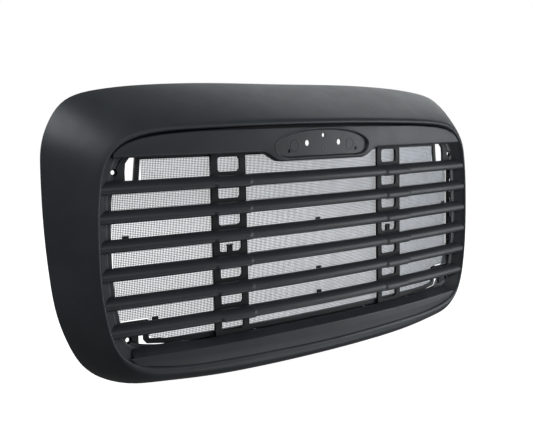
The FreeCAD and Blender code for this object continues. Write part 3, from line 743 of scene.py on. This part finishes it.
# ---------------------------------------------------------------- sill
def sill_crest_z(x):
    """Height of the line where the sill's sloping top meets its back."""
    x = abs(x)
    raised = rise_over(x, SILL_RISE_X) * (1 - SILL_FALL * rise_over(x, SILL_FALL_X))
    past = max(x - SILL_ROUND_X, 0) / (SILL_TIP_X - SILL_ROUND_X)
    rounded_z = SILL_TIP_Z + (SILL_ROUND_Z - SILL_TIP_Z) * math.sqrt(max(1 - past ** 2, 0))
    return min(SILL_CREST_Z + SILL_CREST_RISE * raised, rounded_z)


def sill_section(x, low):
    """The sill's closed section at one plan position, as (depth, z), from its lower edge low."""
    top = SILL_TOP_Z + SILL_TOP_LIFT * (x / SILL_TIP_X) ** 4
    low = min(low, top - SILL_LEAST)
    crest = sill_crest_z(x)
    corners = [(5 * MM, low + 0.3 * MM), (0.6 * MM, low), (0, (low + top) / 2), (0.3 * MM, top),
               (SILL_CREST_DEPTH, crest), (LOUVRE_DEPTH, crest - 0.6 * MM),
               (LOUVRE_DEPTH, crest - 3.5 * MM), (SILL_CREST_DEPTH + 0.5 * MM, crest - WALL),
               (5 * MM, top - WALL)]
    return rounded(corners, 1.6 * MM)


def sill(rings):
    step = 5 * MM
    middle = np.linspace(-SILL_EVEN_X, SILL_EVEN_X, 171)
    end = np.linspace(SILL_EVEN_X + step, SILL_TIP_X, 30)
    x_all = np.concatenate([-end[::-1], middle, end])
    sections = []
    for x, low in zip(x_all, open_curve(SILL_UNDER, x_all)):
        ring = []
        for depth, z in sill_section(x, low):
            px, py, pz = bow_point(x, depth, z)
            if abs(px) < SILL_FLAT_X:
                pz = max(pz, rings.wall_z(px, py) + SILL_GAP)
            else:
                px = math.copysign(min(abs(px), rings.wall_x(py, pz) - SILL_GAP), px)
            ring.append((px, min(py, RIM_CLEAR_Y), pz))
        sections.append(ring)
    piece = new_piece("sill_bar_skin", skin(sections), "grille", BARS, ["sill_bar"])
    finish_shading(piece)


# ---------------------------------------------------------------- louvres
def fine_section(points):
    """A section through points, rounded with a Catmull-Rom curve."""
    per_span = 3
    points = np.array(points, float)
    padded = np.concatenate([[2 * points[0] - points[1]], points, [2 * points[-1] - points[-2]]])
    result = []
    for i in range(len(points) - 1):
        p0, p1, p2, p3 = padded[i:i + 4]
        for step in range(per_span):
            t = step / per_span
            result.append(0.5 * (2 * p1 + (p2 - p0) * t + (2 * p0 - 5 * p1 + 4 * p2 - p3) * t * t
                                 + (3 * p1 - p0 - 3 * p2 + p3) * t ** 3))
    result.append(points[-1])
    return np.array(result)


def louvre_end(rings, depth, z):
    """Arc position at which a line along the louvre runs a little way into the recess wall."""
    bite = 1.0 * MM
    furthest = 540 * MM
    x = LOUVRE_HALF_X
    for _ in range(4):
        y = min(bow_point(x, depth, z)[1], RIM_CLEAR_Y)
        wall = rings.wall_x(y, z) + bite
        x = min(BOW_RADIUS * wall / (BOW_RADIUS - depth), furthest)
    return x


def louvre_stations():
    """Shares of the half length at which a louvre has its sections, from one end to the other."""
    inner, outer = SADDLE_X
    ease = 1 * MM
    places = np.concatenate([np.linspace(0, inner - 4 * MM, 12),
                             np.linspace(inner - ease, inner + SADDLE_RAMP, 9),
                             np.linspace(inner + 12 * MM, outer - 13 * MM, 6),
                             np.linspace(outer - SADDLE_RAMP, outer + ease, 9),
                             np.linspace(outer + 10 * MM, LOUVRE_PLAIN_X, 18)])
    solid_end = [0.975, 0.985, 0.993, 1.0]
    share = np.sort(np.concatenate([places / LOUVRE_HALF_X, solid_end]))
    return np.concatenate([-share[:0:-1], share])


def louvre(index, rings):
    base = LOUVRE_BASE_Z - index * LOUVRE_PITCH
    front = fine_section(LOUVRE_FRONT) * MM
    pocket = np.array(LOUVRE_POCKET, float) * MM
    filled = [(LOUVRE_DEPTH, rise) for rise in np.linspace(*LOUVRE_SOLID_BACK, len(pocket))]
    hollow_section = np.concatenate([front, pocket])
    solid_section = np.concatenate([front, filled])
    ends = [louvre_end(rings, depth, base + rise) for depth, rise in hollow_section]
    inner, outer = SADDLE_X
    sections = []
    for share in louvre_stations():
        x_near = abs(share) * LOUVRE_HALF_X
        raised = smooth((x_near - inner) / SADDLE_RAMP) * smooth((outer - x_near) / SADDLE_RAMP)
        section = solid_section if abs(share) > LOUVRE_SOLID_SHARE else hollow_section
        ring = []
        for (depth, rise), end in zip(section, ends):
            lift = SADDLE_RAISE * raised * (1 - depth / LOUVRE_DEPTH)
            x, y, z = bow_point(share * end, depth - lift, base + rise - SADDLE_SINK * lift)
            ring.append((x, min(y, RIM_CLEAR_Y), z))
        sections.append(ring)
    name = "louvre_%d" % (index + 1)
    piece = new_piece(name + "_skin", skin(sections), "grille", BARS, [name])
    finish_shading(piece, 40)


# ---------------------------------------------------------------- ladders
def add_loop(curve, points):
    """A closed outline in a flat curve; one inside another becomes a window."""
    loop = curve.splines.new("POLY")
    loop.points.add(len(points) - 1)
    for point, (x, y) in zip(loop.points, points):
        point.co = (x, y, 0, 1)
    loop.use_cyclic_u = True


def round_rect(x0, x1, z0, z1, radius):
    steps = 8
    points = []
    for cx, cz, start in ((x1 - radius, z1 - radius, 0), (x0 + radius, z1 - radius, 90),
                          (x0 + radius, z0 + radius, 180), (x1 - radius, z0 + radius, 270)):
        for step in range(steps + 1):
            angle = math.radians(start + 90 * step / steps)
            points.append((cx + radius * math.cos(angle), cz + radius * math.sin(angle)))
    return points


def ladder(side, name):
    curve = bpy.data.curves.new("ladder_outline", "CURVE")
    curve.dimensions = "2D"
    curve.fill_mode = "BOTH"
    curve.extrude = LADDER_THICK / 2 - LADDER_BEVEL
    curve.bevel_depth = LADDER_BEVEL
    curve.bevel_resolution = 2
    curve.offset = -LADDER_BEVEL
    half = LADDER_WIDTH / 2
    add_loop(curve, round_rect(-half, half, LADDER_BOTTOM_Z, LADDER_TOP_Z, LADDER_ROUND))
    reach = WINDOW_WIDTH / 2
    for index in range(WINDOWS):
        base = WINDOW_BASE_Z - index * WINDOW_PITCH
        add_loop(curve, round_rect(-reach, reach, base, base + WINDOW_HEIGHT, WINDOW_RADIUS)[::-1])
    outline = bpy.data.objects.new("ladder_outline", curve)
    flat = bpy.data.meshes.new_from_object(outline)
    bpy.data.objects.remove(outline)
    x_mid, y_mid, _ = bow_point(side * LADDER_X, LOUVRE_DEPTH + LADDER_THICK / 2 + LADDER_GAP, 0)
    upright = Matrix.Rotation(math.radians(90), 4, "X")
    along_bow = Matrix.Rotation(math.asin(side * LADDER_X / BOW_RADIUS), 4, "Z")
    flat.transform(Matrix.Translation((x_mid, y_mid, 0)) @ along_bow @ upright)
    surface = [tuple(v.co) for v in flat.vertices], [tuple(p.vertices) for p in flat.polygons]
    piece = new_piece(name + "_skin", surface, "grille", LADDERS, [name])
    finish_shading(piece, 50)


# ---------------------------------------------------------------- bug screen
def wire(path, across):
    """A square wire along a path, wide in the direction across and in Y."""
    rings = []
    for x, y, z in path:
        ring = []
        for turn in range(4):
            angle = math.radians(45 + 90 * turn)
            a = WIRE_RADIUS * math.cos(angle)
            b = WIRE_RADIUS * math.sin(angle)
            ring.append((x + across[0] * a, y + b, z + across[2] * a))
        rings.append(ring)
    return skin(rings)


def wire_piece(name, wires):
    return new_piece(name, joined(wires), "bug_screen", WIRE, ["screen_mesh"])


def mesh_half_width(z):
    """Half width of the cloth at the height z: the frame's opening with a little tuck."""
    if z > OPENING_NOTCH_Z - MESH_SIDE_TUCK:
        return OPENING_TOP_HALF
    if z > OPENING_LOWER_NOTCH_Z + MESH_SIDE_TUCK:
        return OPENING_SIDE_HALF + MESH_SIDE_TUCK
    corner_x, corner_z = np.transpose(OPENING_CORNER) * MM
    return float(np.interp(z, corner_z, corner_x))


def screen_mesh():
    """Upright and crossing wires that pass in front of and behind each other by turns."""
    low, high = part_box("screen_mesh")
    z_high = high[2] + MESH_OVERLAP
    last = math.floor(high[0] / MESH_PITCH)
    columns = np.arange(-last, last + 1)
    rows = np.arange(math.ceil((z_high - low[2] + MESH_OVERLAP) / MESH_PITCH))

    def crossing(i, j, side):
        depth = MESH_DEPTH + (side if (i + j) % 2 else -side)
        return bow_point(i * MESH_PITCH, depth, z_high - j * MESH_PITCH)

    def inside(i, j):
        return abs(i * MESH_PITCH) <= mesh_half_width(z_high - j * MESH_PITCH)

    uprights = [[crossing(i, j, WEAVE) for j in rows if inside(i, j)] for i in columns]
    uprights = [wire(path, (1, 0, 0)) for path in uprights if len(path) > 1]
    crosses = [[crossing(i, j, -WEAVE) for i in columns if inside(i, j)] for j in rows]
    crosses = [wire(path, (0, 0, 1)) for path in crosses]
    half = len(uprights) // 2
    wire_piece("screen_mesh_uprights_left", uprights[:half])
    wire_piece("screen_mesh_uprights_right", uprights[half:])
    half = len(crosses) // 2
    wire_piece("screen_mesh_crosswires_upper", crosses[:half])
    wire_piece("screen_mesh_crosswires_lower", crosses[half:])


# ---------------------------------------------------------------- kept CAD pieces
def dress(node, material, bevel=0.5 * MM):
    """Gives a CAD node its material and softens its edges."""
    piece = frame["nodes"][node]
    piece.data.materials.clear()
    piece.data.materials.append(material)
    soften = piece.modifiers.new("edge", "BEVEL")
    soften.width = bevel
    soften.segments = 2
    soften.limit_method = "ANGLE"
    soften.angle_limit = math.radians(40)


def dress_kept_nodes():
    dress("screen_frame", RAIL)
    for corner in ("upper_left", "upper_right", "lower_left", "lower_right"):
        dress("corner_plate_" + corner, LADDERS)
    for node in ("rung_clip_left", "rung_clip_right", "louvre_tabs", "screen_pegs"):
        dress(node, LADDERS, 0.3 * MM)
    dress("screen_pads", RUBBER, 0.3 * MM)
    for node in ("ladder_screws", "louvre_end_screws", "header_screws", "sill_screws"):
        dress(node, ZINC, 0.3 * MM)


# ---------------------------------------------------------------- stage
def area_light(name, place, target, size, power):
    lamp = bpy.data.lights.new(name, "AREA")
    lamp.shape = "RECTANGLE"
    lamp.size, lamp.size_y = size
    lamp.energy = power
    lamp.color = LAMP_COLOUR
    holder = bpy.data.objects.new(name, lamp)
    holder.location = place
    aim = Vector(target) - Vector(place)
    holder.rotation_euler = aim.to_track_quat("-Z", "Y").to_euler()
    bpy.context.scene.collection.objects.link(holder)


def stage():
    floor_z = cad_box[0][2] - FLOOR_DROP
    reach = FLOOR_HALF
    mesh = bpy.data.meshes.new("floor")
    corners = [(-reach, -reach), (reach, -reach), (reach, reach), (-reach, reach)]
    mesh.from_pydata([(x, y, floor_z) for x, y in corners], [], [(0, 1, 2, 3)])
    floor = bpy.data.objects.new("floor", mesh)
    bpy.context.scene.collection.objects.link(floor)
    material, _, _, shader = nodes_of("floor_paper")
    shader.inputs["Base Color"].default_value = PAPER_GREY
    shader.inputs["Roughness"].default_value = 0.9
    shader.inputs["Emission Color"].default_value = WHITE
    shader.inputs["Emission Strength"].default_value = 1.0
    mesh.materials.append(material)
    floor.visible_diffuse = False
    floor.visible_glossy = False
    floor.visible_shadow = False


def world():
    """White to the camera, and a weak even fill to everything else."""
    backdrop = bpy.data.worlds.new("studio")
    bpy.context.scene.world = backdrop
    backdrop.use_nodes = True
    nodes = backdrop.node_tree.nodes
    links = backdrop.node_tree.links
    fill = nodes["Background"]
    fill.inputs["Strength"].default_value = FILL_LIGHT
    fill.inputs["Color"].default_value = WHITE
    seen = nodes.new("ShaderNodeBackground")
    seen.inputs["Strength"].default_value = 1.0
    seen.inputs["Color"].default_value = WHITE
    chooser = nodes.new("ShaderNodeMixShader")
    links.new(nodes.new("ShaderNodeLightPath").outputs["Is Camera Ray"], chooser.inputs["Fac"])
    links.new(fill.outputs[0], chooser.inputs[1])
    links.new(seen.outputs[0], chooser.inputs[2])
    links.new(chooser.outputs[0], nodes["World Output"].inputs["Surface"])


def camera():
    data = bpy.data.cameras.new("camera")
    data.sensor_width = CAMERA_SENSOR
    data.sensor_fit = "HORIZONTAL"
    data.lens = CAMERA_LENS
    data.clip_start = 0.05
    holder = bpy.data.objects.new("camera", data)
    right = Vector(CAMERA_RIGHT).normalized()
    back = right.cross(Vector(CAMERA_UP)).normalized()
    up = back.cross(right)
    turn = Matrix((right, up, back)).transposed()
    holder.matrix_world = Matrix.Translation(CAMERA_AT) @ turn.to_4x4()
    bpy.context.scene.collection.objects.link(holder)
    bpy.context.scene.camera = holder


# ---------------------------------------------------------------- the whole scene
bpy.context.scene.view_settings.view_transform = "Standard"
surround()
right_half = Rings(np.linspace(0.02, 0.48, 160))
header()
sill(right_half)
for louvre_index in range(LOUVRES):
    louvre(louvre_index, right_half)
ladder(-1, "ladder_left")
ladder(1, "ladder_right")
screen_mesh()
dress_kept_nodes()
world()
stage()
camera()
for light in LIGHTS:
    area_light(*light)
